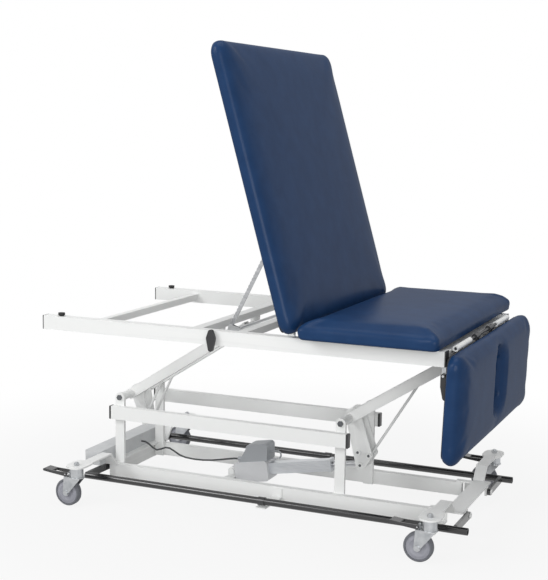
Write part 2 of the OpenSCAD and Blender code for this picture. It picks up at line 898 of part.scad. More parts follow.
module foot_bar_mounts() {
    color(paint)
        both_sides() {
            for (x = [arm_x0 + arm_t + side_fit, arm_x1 - side_fit - lug_t])
                block(x, x + lug_t, arm_pivot_y - lug_w / 2, arm_pivot_y + lug_w / 2, arm_pivot_z - arm_h / 2, base_top);
            for (stop = [[stop_x0, base_y1, base_top - stop_t], [stop_x1, base_y1 - stop_t, base_top]]) {
                block(stop[0], stop[0] + stop_w, stop[1], stop[1] + stop_t, stop_z1 - stop_t, stop[2]);
                block(stop[0], stop[0] + stop_w, stop[1], foot_bar_y + foot_bar_d / 2, stop_z1 - stop_t, stop_z1);
            }
        }
    color(zinc)
        both_sides() {
            round_x(arm_pivot_y, arm_pivot_z, bar_pin_d / 2, arm_x0, arm_x0 + arm_t + side_fit);
            round_x(arm_pivot_y, arm_pivot_z, bar_pin_d / 2, arm_x1 - side_fit, arm_x1 + arm_t);
            round_x(arm_pivot_y, arm_pivot_z, bar_pin_d, arm_x0 - stop_t, arm_x0 - run_fit);
            round_x(arm_pivot_y, arm_pivot_z, bar_pin_d, arm_x1 + arm_t + run_fit, arm_x1 + arm_t + stop_t);
        }
}

// Caster parts in their own frame: the stem on the Z axis, the wheel behind it
stem_nut_r = 11;
stem_nut_t = 10;
race_r = 25;
race_t = 16;
crown_z = wheel_d + 8;
crown_t = 3;
crown_back = 8;
fork_t = 3;
fork_gap = wheel_w / 2 + 2;
axle_d = 10;
axle_head_r = 9;
axle_head_t = 4;
head_w = 2 * fork_gap + 2 * fork_t;

module at_stem(x, y) {
    translate([x, y, 0])
        children();
}

module caster_stems() {
    color(zinc)
        for (x = [stem_x0, stem_x1])
            for (y = [-stem_y, stem_y])
                at_stem(x, y) {
                    cylinder_between(stem_d / 2, ear_z0 - race_t / 2, ear_z0 + plate_t);
                    hex_z(0, 0, stem_nut_r, ear_z0 + plate_t, ear_z0 + plate_t + stem_nut_t);
                    cylinder_between(stem_d / 2 - over, ear_z0 + plate_t + stem_nut_t, ear_z0 + plate_t
                        + stem_nut_t + crown_t);
                }
}

module cylinder_between(r, z0, z1) {
    translate([0, 0, z0])
        cylinder(r = r, h = z1 - z0);
}

module fork() {
    color(zinc) {
        difference() {
            union() {
                cylinder_between(race_r, crown_z, ear_z0 - side_fit);
                translate([0, 0, crown_z])
                    linear_extrude(height = crown_t)
                        union() {
                            circle(r = race_r + fork_t);
                            translate([-trail - crown_back, -head_w / 2])
                                square([trail + crown_back, head_w]);
                        }
            }
            cylinder_between(stem_d / 2 + run_fit, ear_z0 - race_t / 2 - over, ear_z0);
        }
        for (side = [-1, 1])
            slab_y(side > 0 ? fork_gap : -fork_gap - fork_t, side > 0 ? fork_gap + fork_t : -fork_gap) {
                translate([-trail, wheel_r])
                    circle(r = axle_head_r + fork_t);
                polygon([[-trail - axle_head_r - fork_t, wheel_r], [-trail - crown_back, crown_z + crown_t],
                    [race_r - fork_t, crown_z + crown_t], [race_r - fork_t, crown_z - crown_t],
                    [-trail + axle_head_r + fork_t, wheel_r]]);
            }
        round_y(-trail, wheel_r, axle_d / 2, -fork_gap - fork_t, fork_gap + fork_t);
        for (side = [-1, 1])
            round_y(-trail, wheel_r, axle_head_r, side > 0 ? fork_gap + fork_t : -fork_gap - fork_t - axle_head_t,
                side > 0 ? fork_gap + fork_t + axle_head_t : -fork_gap - fork_t);
    }
}

tread_t = 9;
rim_in = 5;
hub_r = 14;
edge_r = 4;

module wheel() {
    color(tread)
        translate([-trail, 0, wheel_r])
            rotate([90, 0, 0])
                rotate_extrude()
                    polygon([
                        [axle_d / 2 + run_fit, -wheel_w / 2], [hub_r, -wheel_w / 2], [hub_r, -wheel_w / 2 + rim_in],
                        [wheel_r - tread_t, -wheel_w / 2 + rim_in], [wheel_r - tread_t, -wheel_w / 2 + edge_r / 2],
                        [wheel_r - edge_r, -wheel_w / 2 + edge_r / 2], [wheel_r, -wheel_w / 2 + 2 * edge_r],
                        [wheel_r, wheel_w / 2 - 2 * edge_r], [wheel_r - edge_r, wheel_w / 2 - edge_r / 2],
                        [wheel_r - tread_t, wheel_w / 2 - edge_r / 2], [wheel_r - tread_t, wheel_w / 2 - rim_in],
                        [hub_r, wheel_w / 2 - rim_in], [hub_r, wheel_w / 2], [axle_d / 2 + run_fit, wheel_w / 2]]);
}

// Brake pedal: a channel round the fork's head with a step pad behind
pedal_t = 2.5;
pedal_h = 10;
pedal_w = 44;
pedal_x0 = -98;
pad_x0 = -134;
pad_rise = 7;
pad_r = 5;
pedal_pin_x = -38;
pedal_rise = 9.5;
pedal_pin_z = crown_z + crown_t + pedal_rise;
pedal_ear_t = 3;

module pedal_ears() {
    color(zinc)
        for (side = [-1, 1])
            slab_y(side > 0 ? pedal_w / 2 - 2 * pedal_t - side_fit - pedal_ear_t
                    : -(pedal_w / 2 - 2 * pedal_t - side_fit),
                side > 0 ? pedal_w / 2 - 2 * pedal_t - side_fit
                    : -(pedal_w / 2 - 2 * pedal_t - side_fit - pedal_ear_t)) {
                translate([pedal_pin_x, pedal_pin_z])
                    circle(r = pedal_h / 2);
                translate([pedal_pin_x - pedal_h / 2, crown_z + crown_t])
                    square([pedal_h, pedal_pin_z - crown_z - crown_t]);
            }
}

module pedal() {
    color(black) {
        for (side = [-1, 1])
            slab_y(side > 0 ? pedal_w / 2 - 2 * pedal_t : -pedal_w / 2,
                side > 0 ? pedal_w / 2 : -pedal_w / 2 + 2 * pedal_t)
                link(pedal_pin_x, pedal_pin_z, pedal_h / 2 + pedal_t, pedal_x0, pedal_pin_z + pad_rise / 2,
                    pedal_h / 2);
        slab_y(-pedal_w / 2, pedal_w / 2)
            link(pedal_x0, pedal_pin_z + pad_rise / 2, pedal_h / 2, pad_x0 + pad_r, pedal_pin_z + pad_rise, pad_r);
    }
}

stems = [[stem_x0, -stem_y], [stem_x1, -stem_y], [stem_x0, stem_y], [stem_x1, stem_y]];

module place_fork(i) {
    at_stem(stems[i][0], stems[i][1]) {
        fork();
        pedal_ears();
        color(zinc)
            round_y(pedal_pin_x, pedal_pin_z, axle_d / 4, -pedal_w / 2, pedal_w / 2);
    }
}

module place_wheel(i) {
    at_stem(stems[i][0], stems[i][1])
        wheel();
}

module place_pedal(i) {
    at_stem(stems[i][0], stems[i][1])
        difference() {
            pedal();
            round_y(pedal_pin_x, pedal_pin_z, axle_d / 4 + run_fit, -pedal_w, pedal_w);
        }
}

// Seat board and the three cushions
seat_in = 15;
seat_x1 = rail_x1 - seat_in;
seat_x0 = seat_x1 - seat_len;
seat_z0 = rail_z1 + seat_lift;
board_in = 40;
cushion_share = [[0, 0.012], [0.1, 0.002], [0.35, 0], [0.65, 0], [0.86, 0.004], [0.96, 0.012], [1, 0.024]];
crown_shares = [[0.12, 0.45], [0.3, 0.75], [0.55, 0.93], [0.8, 0.99]];
ring_corner = 6;
corner_share = 0.6;
quarter = 90;

// Rounded rectangle of size a by b about the middle, drawn in by inset
function ring(a, b, inset, z) =
    let (r = max(corner_r - inset * corner_share, corner_r / 4), hx = a / 2 - inset, hy = b / 2 - inset)
    [for (q = [0 : 3]) for (k = [0 : ring_corner])
        let (t = quarter * q + quarter * k / ring_corner, cx = (q == 0 || q == 3) ? hx - r : r - hx,
            cy = (q < 2) ? hy - r : r - hy)
        [cx + r * cos(t), cy + r * sin(t), z]];

// Foam block with drawn-in sides and a crowned top, its underside at zero
module foam(a, b, t) {
    n = 4 * (ring_corner + 1);
    half = min(a, b) / 2;
    levels = concat(
        [for (s = cushion_share) ring(a, b, s[1] * min(a, 2 * half), s[0] * t)],
        [for (s = crown_shares) ring(a, b, s[0] * half, t + crown * s[1])]);
    m = len(levels);
    pts = concat([for (l = levels) each l], [[0, 0, t + crown], [0, 0, 0]]);
    walls = [for (i = [0 : m - 2]) for (k = [0 : n - 1])
        each [[i * n + k, (i + 1) * n + k, i * n + (k + 1) % n],
            [(i + 1) * n + k, (i + 1) * n + (k + 1) % n, i * n + (k + 1) % n]]];
    top = [for (k = [0 : n - 1]) [(m - 1) * n + k, m * n, (m - 1) * n + (k + 1) % n]];
    low = [for (k = [0 : n - 1]) [k, (k + 1) % n, m * n + 1]];
    polyhedron(points = pts, faces = concat(walls, top, low));
}

// Board outline with rounded corners, its underside at zero
module board(a, b) {
    r = corner_r - board_in / 2;
    linear_extrude(height = board_t)
        union() {
            square([a - 2 * r, b], center = true);
            square([a, b - 2 * r], center = true);
            for (x = [-a / 2 + r, a / 2 - r])
                for (y = [-b / 2 + r, b / 2 - r])
                    translate([x, y])
                        circle(r = r);
        }
}

module seat_board() {
    color(ply)
        translate([(seat_x0 + seat_x1) / 2, 0, seat_z0])
            board(seat_len - board_in, cushion_w - board_in);
}

module seat_cushion() {
    color(vinyl)
        translate([(seat_x0 + seat_x1) / 2, 0, seat_z0 + board_t])
            foam(seat_len, cushion_w, pad_t - board_t);
}

// Back section, drawn flat towards -X from its hinge and then lifted
back_in = 60.5;
back_x = seat_x0 - back_in;
back_z = rail_z1 + seat_lift;
hinge_r = 12;
hinge_pin_d = 12;
hinge_gap = 14;

module place_back() {
    translate([back_x, 0, back_z])
        rotate([0, back_lean, 0])
            children();
}

module back_board() {
    color(ply)
        place_back()
            translate([-(hinge_gap + back_len - board_in / 2) / 2, 0, 0])
                board(back_len - board_in / 2 - hinge_gap, cushion_w - board_in);
}

module back_cushion() {
    color(vinyl)
        place_back()
            translate([-back_len / 2, 0, board_t])
                foam(back_len, cushion_w, pad_t - board_t);
}

// Straps under the back board with eyes on the hinge pins, and the tracks of the support bars
strap_t = 6;
strap_len = 180;
strap_h = 24;
strap_flange = 30;
strap_y = 392;
bar_y = 300;
bar_t = 8;
bar_h = 13;
track_w = 3;
track_h = 9;
track_gap = 11;
track_s0 = 330;
track_s1 = 672;
head_pin_w = 20;

module back_hinge_straps() {
    color(steel)
        place_back()
            both_sides() {
                difference() {
                    slab_y(strap_y, strap_y + strap_t) {
                        circle(r = hinge_r);
                        polygon([[0, -hinge_r], [-strap_len, -strap_t], [-strap_len, 0], [-hinge_r, 0]]);
                    }
                    round_y(0, 0, hinge_pin_d / 2 + run_fit, strap_y - over, strap_y + strap_t + over);
                }
                block(-strap_len, -hinge_gap, strap_y - strap_flange, strap_y, -strap_t / 2, 0);
                for (side = [-1, 1])
                    block(-track_s1, -track_s0, bar_y + (side > 0 ? track_gap : -track_gap - track_w),
                        bar_y + (side > 0 ? track_gap + track_w : -track_gap), -track_h, 0);
            }
}

// Lugs on the inner faces of the long rails with the hinge pins of the back section
lug_w2 = 46;
lug_y0 = strap_y + strap_t + side_fit;

module back_hinge_lugs() {
    both_sides() {
        color(paint)
            slab_y(lug_y0, rail_y0) {
                translate([back_x, back_z])
                    circle(r = hinge_r);
                polygon([[back_x - hinge_r, back_z], [back_x - lug_w2 / 2, rail_z1 - cross_h],
                    [back_x - lug_w2 / 2, rail_z0 + cap_t], [back_x + lug_w2 / 2, rail_z0 + cap_t],
                    [back_x + lug_w2 / 2, rail_z1 - cross_h], [back_x + hinge_r, back_z]]);
            }
        color(zinc)
            round_y(back_x, back_z, hinge_pin_d / 2, strap_y - head_t, lug_y0);
    }
}

// Support bars: notched flat bars from the frame up to the tracks under the back section
bar_pivot_off = 1.5;
bar_pivot_x = shaft_x + bar_pivot_off;
bar_pivot_z = rail_z1 - 5.5;
bar_lean = 63.4;
head_depth = 8.5;
bar_pin_r = 4;
back_normal = [-sin(back_lean), -cos(back_lean)];
bar_dir = [cos(bar_lean), sin(bar_lean)];
bar_len = (([bar_pivot_x - back_x, bar_pivot_z - back_z] * back_normal) - head_depth) / -(bar_dir * back_normal);
notch_pitch = 14;
notch_deep = 3;
notch_start = 30;

module support_bars() {
    color(steel)
        translate([bar_pivot_x, 0, bar_pivot_z])
            rotate([0, -bar_lean, 0])
                both_sides() {
                    difference() {
                        slab_y(bar_y - bar_t / 2, bar_y + bar_t / 2) {
                            circle(r = bar_h / 2);
                            translate([bar_len, 0])
                                circle(r = bar_h / 2);
                            polygon(concat([[0, -bar_h / 2], [bar_len, -bar_h / 2], [bar_len, bar_h / 2]],
                                [for (i = [floor((bar_len - 2 * notch_start) / notch_pitch) : -1 : 0])
                                    each [[notch_start + i * notch_pitch + notch_pitch / 2, bar_h / 2],
                                        [notch_start + i * notch_pitch, bar_h / 2 - notch_deep],
                                        [notch_start + i * notch_pitch, bar_h / 2]]],
                                [[0, bar_h / 2]]));
                        }
                        round_y(0, 0, bar_pin_r + run_fit, bar_y - bar_t, bar_y + bar_t);
                    }
                    round_y(bar_len, 0, bar_pin_r, bar_y - head_pin_w / 2, bar_y + head_pin_w / 2);
                }
}

// Cheek plates from the seat side cross tube that carry the bars' pivots and the release shaft
cheek_t = 4;
cheek_gap = 0.4;
cheek_r = 8;
cheek_h = 30;

module bar_brackets() {
    tube_face = seat_tube_x - cross_w / 2;
    both_sides() {
        color(zinc)
            for (side = [-1, 1])
                difference() {
                    slab_y(bar_y + (side > 0 ? bar_t / 2 + cheek_gap : -bar_t / 2 - cheek_gap - cheek_t),
                        bar_y + (side > 0 ? bar_t / 2 + cheek_gap + cheek_t : -bar_t / 2 - cheek_gap)) {
                        link(bar_pivot_x, bar_pivot_z, cheek_r, shaft_x, shaft_z, cheek_r + 3 * cheek_gap);
                        polygon([[bar_pivot_x, bar_pivot_z + cheek_r], [tube_face, cross_z1],
                            [tube_face, cross_z0], [shaft_x, shaft_z - cheek_r]]);
                    }
                    round_y(shaft_x, shaft_z, shaft_d / 2 + run_fit, bar_y - cheek_h, bar_y + cheek_h);
                }
        color(zinc)
            round_y(bar_pivot_x, bar_pivot_z, bar_pin_r, bar_y - bar_t / 2 - cheek_gap - cheek_t,
                bar_y + bar_t / 2 + cheek_gap + cheek_t);
    }
}

// Release shaft across the frame and its double-ended handle on the front rail
handle_t = 12;
handle_gap = 8;
handle_len = 92;
handle_mid_w = 33;
handle_end_w = 18;
handle_rise = 6;
hub_gap = 0.5;
collar_r = 11;
collar_w = 14;

module back_release_shaft() {
    color(steel) {
        round_y(shaft_x, shaft_z, shaft_d / 2, -rail_y1 - handle_gap - handle_t / 2, rail_y0 + tube_wall);
        round_y(shaft_x, shaft_z, collar_r, -rail_y1 - handle_gap, -rail_y1 - hub_gap);
        for (y = [-bar_y + bar_t + 2 * cheek_t, bar_y - bar_t - 2 * cheek_t - collar_w])
            round_y(shaft_x, shaft_z, collar_r, y, y + collar_w);
    }
}

module back_release_handle() {
    y1 = -rail_y1 - handle_gap;
    color(black)
        difference() {
            slab_y(y1 - handle_t, y1) {
                link(shaft_x, shaft_z, handle_mid_w / 2, shaft_x, shaft_z + (rail_h - handle_end_w) / 2 + handle_rise,
                    handle_end_w / 2);
                link(shaft_x, shaft_z, handle_mid_w / 2, shaft_x, shaft_z - (handle_len - handle_end_w) / 2,
                    handle_end_w / 2);
            }
            round_y(shaft_x, shaft_z, shaft_d / 2, y1 - handle_t / 2, y1 + over);
        }
}

// Drop section, drawn flat towards +X from its hinge and then lowered
drop_in = 29;
drop_x = seat_x1 + drop_in;
drop_z = rail_z1 - 1.5;
drop_lift = seat_z0 - drop_z;
barrel_r = 10;
barrel_in = 185;
barrel_out = 365;
drop_gap = 12;
drop_pin_d = 10;
face_start = 43;

module place_drop() {
    translate([drop_x, 0, drop_z])
        rotate([0, drop_lean, 0])
            children();
}

// Outline of the face opening, its long way along the section
module face_outline(grow) {
    r = face_w / 2 + grow;
    translate([face_start + face_w / 2, 0])
        circle(r = r);
    translate([face_start + face_len - face_w / 2, 0])
        circle(r = r);
    translate([face_start + face_w / 2, -r])
        square([face_len - face_w, 2 * r]);
}

module drop_board() {
    color(ply)
        place_drop()
            difference() {
                translate([(drop_gap + drop_len - board_in / 2) / 2, 0, drop_lift])
                    board(drop_len - board_in / 2 - drop_gap, cushion_w - board_in);
                translate([0, 0, drop_lift - over])
                    linear_extrude(height = board_t + 2 * over)
                        face_outline(0);
            }
}

module drop_cushion() {
    color(vinyl)
        place_drop()
            difference() {
                translate([drop_len / 2, 0, drop_lift + board_t])
                    foam(drop_len, cushion_w, pad_t - board_t);
                translate([0, 0, drop_lift + board_t - over])
                    linear_extrude(height = pad_t + 2 * crown)
                        face_outline(0);
            }
}

// White hinge barrels at the right end of the frame
barrel_leaf_t = 4;
barrel_leaf_in = 20;

module drop_hinge_barrels() {
    color(paint)
        both_sides() {
            difference() {
                union() {
                    round_y(drop_x, drop_z, barrel_r, barrel_in, barrel_out);
                    block(up_x1, drop_x, barrel_in + barrel_leaf_in, barrel_out - barrel_leaf_in,
                        cross_z1, cross_z1 + barrel_leaf_t);
                }
                round_y(drop_x, drop_z, drop_pin_d / 2 + run_fit, barrel_in - over, barrel_out + over);
            }
        }
}

// Inner barrels, rod and straps that turn with the drop section
drop_strap_w = 36;
drop_strap_len = 150;
drop_strap_t = 5;
drop_strap_y = 78;
drop_barrel_side = 6;

module drop_hinge_arms() {
    color(grey)
        place_drop() {
            round_y(0, 0, drop_pin_d / 2, -barrel_out, barrel_out);
            both_sides()
                round_y(0, 0, barrel_r, drop_strap_y - drop_barrel_side, drop_strap_y + drop_strap_w + drop_barrel_side);
            both_sides()
                block(0, drop_strap_len, drop_strap_y, drop_strap_y + drop_strap_w, drop_lift - drop_strap_t, drop_lift);
        }
}

// Drop release lever on a hub under the right end of the front rail
lever_in = 12.5;
lever_under = 36.84;
lever_x = rail_x1 - lever_in;
lever_y = 400;
lever_z = rail_z0 - lever_under;
lever_hub_r = 8;
lever_mid = [5, -34];
lever_mid_r = 13;
lever_tip = [9.5, -71];
lever_tip_r = 9.5;
lever_t = 12;

module drop_release_lever() {
    color(black)
        difference() {
            slab_y(-lever_y - lever_t, -lever_y) {
                link(lever_x + lever_mid[0], lever_z + lever_mid[1], lever_mid_r, lever_x, lever_z, lever_hub_r);
                link(lever_x + lever_mid[0], lever_z + lever_mid[1], lever_mid_r,
                    lever_x + lever_tip[0], lever_z + lever_tip[1], lever_tip_r);
            }
            round_y(lever_x, lever_z, bar_pin_r + run_fit, -lever_y - lever_t - over, -lever_y + over);
        }
}

// Plate under the right cross tube that carries the lever's pin
lever_plate_t = 4;
lever_plate_gap = 0.4;
lever_plate_r = 7;

module drop_lever_bracket() {
    plate_y = -lever_y + lever_plate_gap;
    color(zinc) {
        slab_y(plate_y, plate_y + lever_plate_t)
            translate([lever_x, lever_z])
                circle(r = lever_plate_r);
        block(lever_x - lever_plate_r, lever_x + lever_plate_r, plate_y, plate_y + lever_plate_t, lever_z, cross_z0);
        round_y(lever_x, lever_z, bar_pin_r, -lever_y - lever_t, plate_y + lever_plate_t);
    }
}

base_rail_front();
base_rail_back();
left_end_plate();
right_end_plate();
left_cross_plate();
posts();
mid_rail_front();
mid_rail_back();
mid_rail_caps();
control_box();
actuator_cable();
actuator_anchor();
pivot_bolts();
foot_bar_mounts();
caster_stems();
main_arm_tubes();
main_pivot_tubes();
crank_plates();
second_arm_tubes();
second_pivot_tubes();
second_stay_plates();
top_rail_front();
top_rail_back();
cross_tubes();
pivot_hangers();
top_rail_caps();
bumpers();
seat_board();
seat_cushion();
back_hinge_lugs();
drop_hinge_barrels();
drop_lever_bracket();
bar_brackets();
back_board();
back_cushion();
back_hinge_straps();
support_bars();
back_release_handle();
back_release_shaft();
drop_board();
drop_cushion();
drop_hinge_arms();
drop_release_lever();
foot_bar_front();
foot_bar_back();
actuator_motor();
actuator_tube();
actuator_rod();
place_fork(0);  // fork_front_left
place_fork(1);  // fork_front_right
place_fork(2);  // fork_back_left
place_fork(3);  // fork_back_right
place_wheel(0);  // wheel_front_left
place_wheel(1);  // wheel_front_right
place_wheel(2);  // wheel_back_left
place_wheel(3);  // wheel_back_right
place_pedal(0);  // pedal_front_left
place_pedal(1);  // pedal_front_right
place_pedal(2);  // pedal_back_left
place_pedal(3);  // pedal_back_right
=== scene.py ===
import json
import math

import bmesh
import bpy
import numpy as np
from mathutils import Matrix, Vector


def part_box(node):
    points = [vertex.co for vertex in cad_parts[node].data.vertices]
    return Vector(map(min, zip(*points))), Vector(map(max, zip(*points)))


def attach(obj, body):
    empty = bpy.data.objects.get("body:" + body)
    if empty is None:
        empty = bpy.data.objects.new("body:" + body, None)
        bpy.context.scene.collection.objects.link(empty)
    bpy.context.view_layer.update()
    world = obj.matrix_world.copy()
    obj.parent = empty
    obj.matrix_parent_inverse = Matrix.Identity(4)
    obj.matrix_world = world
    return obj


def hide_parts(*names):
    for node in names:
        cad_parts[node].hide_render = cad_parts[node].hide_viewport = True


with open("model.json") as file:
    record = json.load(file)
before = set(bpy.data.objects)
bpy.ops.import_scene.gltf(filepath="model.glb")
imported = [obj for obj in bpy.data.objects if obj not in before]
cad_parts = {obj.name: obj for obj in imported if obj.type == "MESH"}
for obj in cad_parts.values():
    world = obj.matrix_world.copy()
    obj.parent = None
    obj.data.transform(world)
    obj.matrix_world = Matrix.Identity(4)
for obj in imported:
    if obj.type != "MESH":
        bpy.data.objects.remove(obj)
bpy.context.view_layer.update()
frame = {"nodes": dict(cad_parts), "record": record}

scene = bpy.context.scene

# Camera, solved from the edges of the tubes in the photograph
PHOTO_W, PHOTO_H = 548.0, 580.0
PHOTO_MID_X, PHOTO_MID_Y = 275.85, 288.97
FOCAL_PX = 1234.12
SENSOR_W = 36.0
CAMERA_AT = (1.76317, -4.23082, 1.44512)
CAMERA_TURN, CAMERA_PITCH, CAMERA_ROLL = math.radians(23.36), math.radians(7.91), math.radians(0.90)
SEES_TO = 60


def make_camera():
    data = bpy.data.cameras.new("camera")
    data.sensor_fit = "HORIZONTAL"
    data.sensor_width = SENSOR_W
    data.lens = FOCAL_PX * SENSOR_W / PHOTO_W
    data.shift_x = (PHOTO_W / 2 - PHOTO_MID_X) / PHOTO_W
    data.shift_y = (PHOTO_MID_Y - PHOTO_H / 2) / PHOTO_W
    data.clip_end = SEES_TO
    ahead = Vector((-math.sin(CAMERA_TURN) * math.cos(CAMERA_PITCH),
                    math.cos(CAMERA_TURN) * math.cos(CAMERA_PITCH),
                    -math.sin(CAMERA_PITCH)))
    level = Vector((math.cos(CAMERA_TURN), math.sin(CAMERA_TURN), 0.0))
    upright = level.cross(ahead)
    right = math.cos(CAMERA_ROLL) * level + math.sin(CAMERA_ROLL) * upright
    top = math.cos(CAMERA_ROLL) * upright - math.sin(CAMERA_ROLL) * level
    camera = bpy.data.objects.new("camera", data)
    scene.collection.objects.link(camera)
    camera.matrix_world = Matrix((
        (right.x, top.x, -ahead.x, CAMERA_AT[0]),
        (right.y, top.y, -ahead.y, CAMERA_AT[1]),
        (right.z, top.z, -ahead.z, CAMERA_AT[2]),
        (0, 0, 0, 1)))
    return camera


bpy.context.scene.camera = make_camera()

# Materials: every one has mottled colour and roughness, and a fine bump
COAT_ROUGH = 0.3
MOTTLE_DETAIL, MOTTLE_ROUGH = 6, 0.55
MOTTLE_FROM, MOTTLE_TO = 0.3, 0.7
GRAIN_DETAIL = 3
WEAR_FROM, WEAR_TO = 0.53, 0.62
WAVE_DETAIL, WAVE_DIST = 2, 0.01
# A Mix node's colours share their names with its other sockets, so they go by number
MIX_A, MIX_B, MIX_OUT = 6, 7, 2


def srgb(r, g, b):
    """Linear colour of one that is given from 0 to 255."""
    shares = [c / 255.0 for c in (r, g, b)]
    return tuple(s / 12.92 if s <= 0.04045 else ((s + 0.055) / 1.055) ** 2.4 for s in shares) + (1.0,)


def empty_tree(owner):
    owner.use_nodes = True
    owner.node_tree.nodes.clear()
    return owner.node_tree


def add_node(tree, kind, inputs=None):
    """Adds a shader node, with values for its inputs by name or number."""
    node = tree.nodes.new(kind)
    for key, value in (inputs or {}).items():
        node.inputs[key].default_value = value
    return node


def math_node(tree, operation, first, second):
    node = tree.nodes.new("ShaderNodeMath")
    node.operation = operation
    tree.links.new(first, node.inputs[0])
    tree.links.new(second, node.inputs[1])
    return node.outputs[0]


def mix_colours(tree, factor, first, colour):
    """Mixes a fixed colour over a socket's one."""
    mix = tree.nodes.new("ShaderNodeMix")
    mix.data_type = "RGBA"
    mix.inputs[MIX_B].default_value = colour
    tree.links.new(factor, mix.inputs[0])
    tree.links.new(first, mix.inputs[MIX_A])
    return mix.outputs[MIX_OUT]


def worn_edges(tree, colour, wear):
    """Lays the wear colour over the sharp outer edges."""
    geometry = tree.nodes.new("ShaderNodeNewGeometry")
    edge = tree.nodes.new("ShaderNodeValToRGB")
    edge.color_ramp.elements[0].position = WEAR_FROM
    edge.color_ramp.elements[1].position = WEAR_TO
    tree.links.new(geometry.outputs["Pointiness"], edge.inputs[0])
    return mix_colours(tree, edge.outputs[0], colour, wear)


def material(name, dark, light, rough, scale, bump, bump_scale, bump_dist=0.0002, metal=0.0, spec=0.5,
             coat=0.0, stretch=(1, 1, 1), leather=False, wear=None, waves=None):
    """waves is the strength and the scale of slow waves in the surface, for a cover."""
    new = bpy.data.materials.new(name)
    tree = empty_tree(new)
    out = add_node(tree, "ShaderNodeOutputMaterial")
    shader = add_node(tree, "ShaderNodeBsdfPrincipled", {
        "Metallic": metal, "Specular IOR Level": spec, "Coat Weight": coat, "Coat Roughness": COAT_ROUGH})
    tree.links.new(shader.outputs[0], out.inputs[0])

    place = add_node(tree, "ShaderNodeTexCoord").outputs["Object"]
    stretched = add_node(tree, "ShaderNodeMapping", {"Scale": stretch})
    tree.links.new(place, stretched.inputs["Vector"])

    mottle = add_node(tree, "ShaderNodeTexNoise", {
        "Scale": scale, "Detail": MOTTLE_DETAIL, "Roughness": MOTTLE_ROUGH})
    tree.links.new(stretched.outputs[0], mottle.inputs["Vector"])
    ramp = add_node(tree, "ShaderNodeValToRGB")
    for element, position, shade in zip(ramp.color_ramp.elements, (MOTTLE_FROM, MOTTLE_TO), (dark, light)):
        element.position = position
        element.color = shade
    tree.links.new(mottle.outputs[0], ramp.inputs[0])
    colour = ramp.outputs[0]
    if wear is not None:
        colour = worn_edges(tree, colour, wear)
    tree.links.new(colour, shader.inputs["Base Color"])

    roughness = add_node(tree, "ShaderNodeMapRange", {"To Min": rough[0], "To Max": rough[1]})
    tree.links.new(mottle.outputs[0], roughness.inputs["Value"])
    tree.links.new(roughness.outputs[0], shader.inputs["Roughness"])

    if leather:
        grain = add_node(tree, "ShaderNodeTexVoronoi", {"Scale": bump_scale})
        grain.feature = "DISTANCE_TO_EDGE"
        tree.links.new(place, grain.inputs["Vector"])
        height = grain.outputs["Distance"]
    else:
        grain = add_node(tree, "ShaderNodeTexNoise", {"Scale": bump_scale, "Detail": GRAIN_DETAIL})
        tree.links.new(stretched.outputs[0], grain.inputs["Vector"])
        height = grain.outputs[0]
    fine = add_node(tree, "ShaderNodeBump", {"Strength": bump, "Distance": bump_dist})
    tree.links.new(height, fine.inputs["Height"])
    normal = fine.outputs[0]
    if waves is not None:
        slow = add_node(tree, "ShaderNodeTexNoise", {"Scale": waves[1], "Detail": WAVE_DETAIL})
        tree.links.new(place, slow.inputs["Vector"])
        wavy = add_node(tree, "ShaderNodeBump", {"Strength": waves[0], "Distance": WAVE_DIST})
        tree.links.new(slow.outputs[0], wavy.inputs["Height"])
        tree.links.new(normal, wavy.inputs["Normal"])
        normal = wavy.outputs[0]
    tree.links.new(normal, shader.inputs["Normal"])
    tree.links.new(normal, shader.inputs["Coat Normal"])
    return new


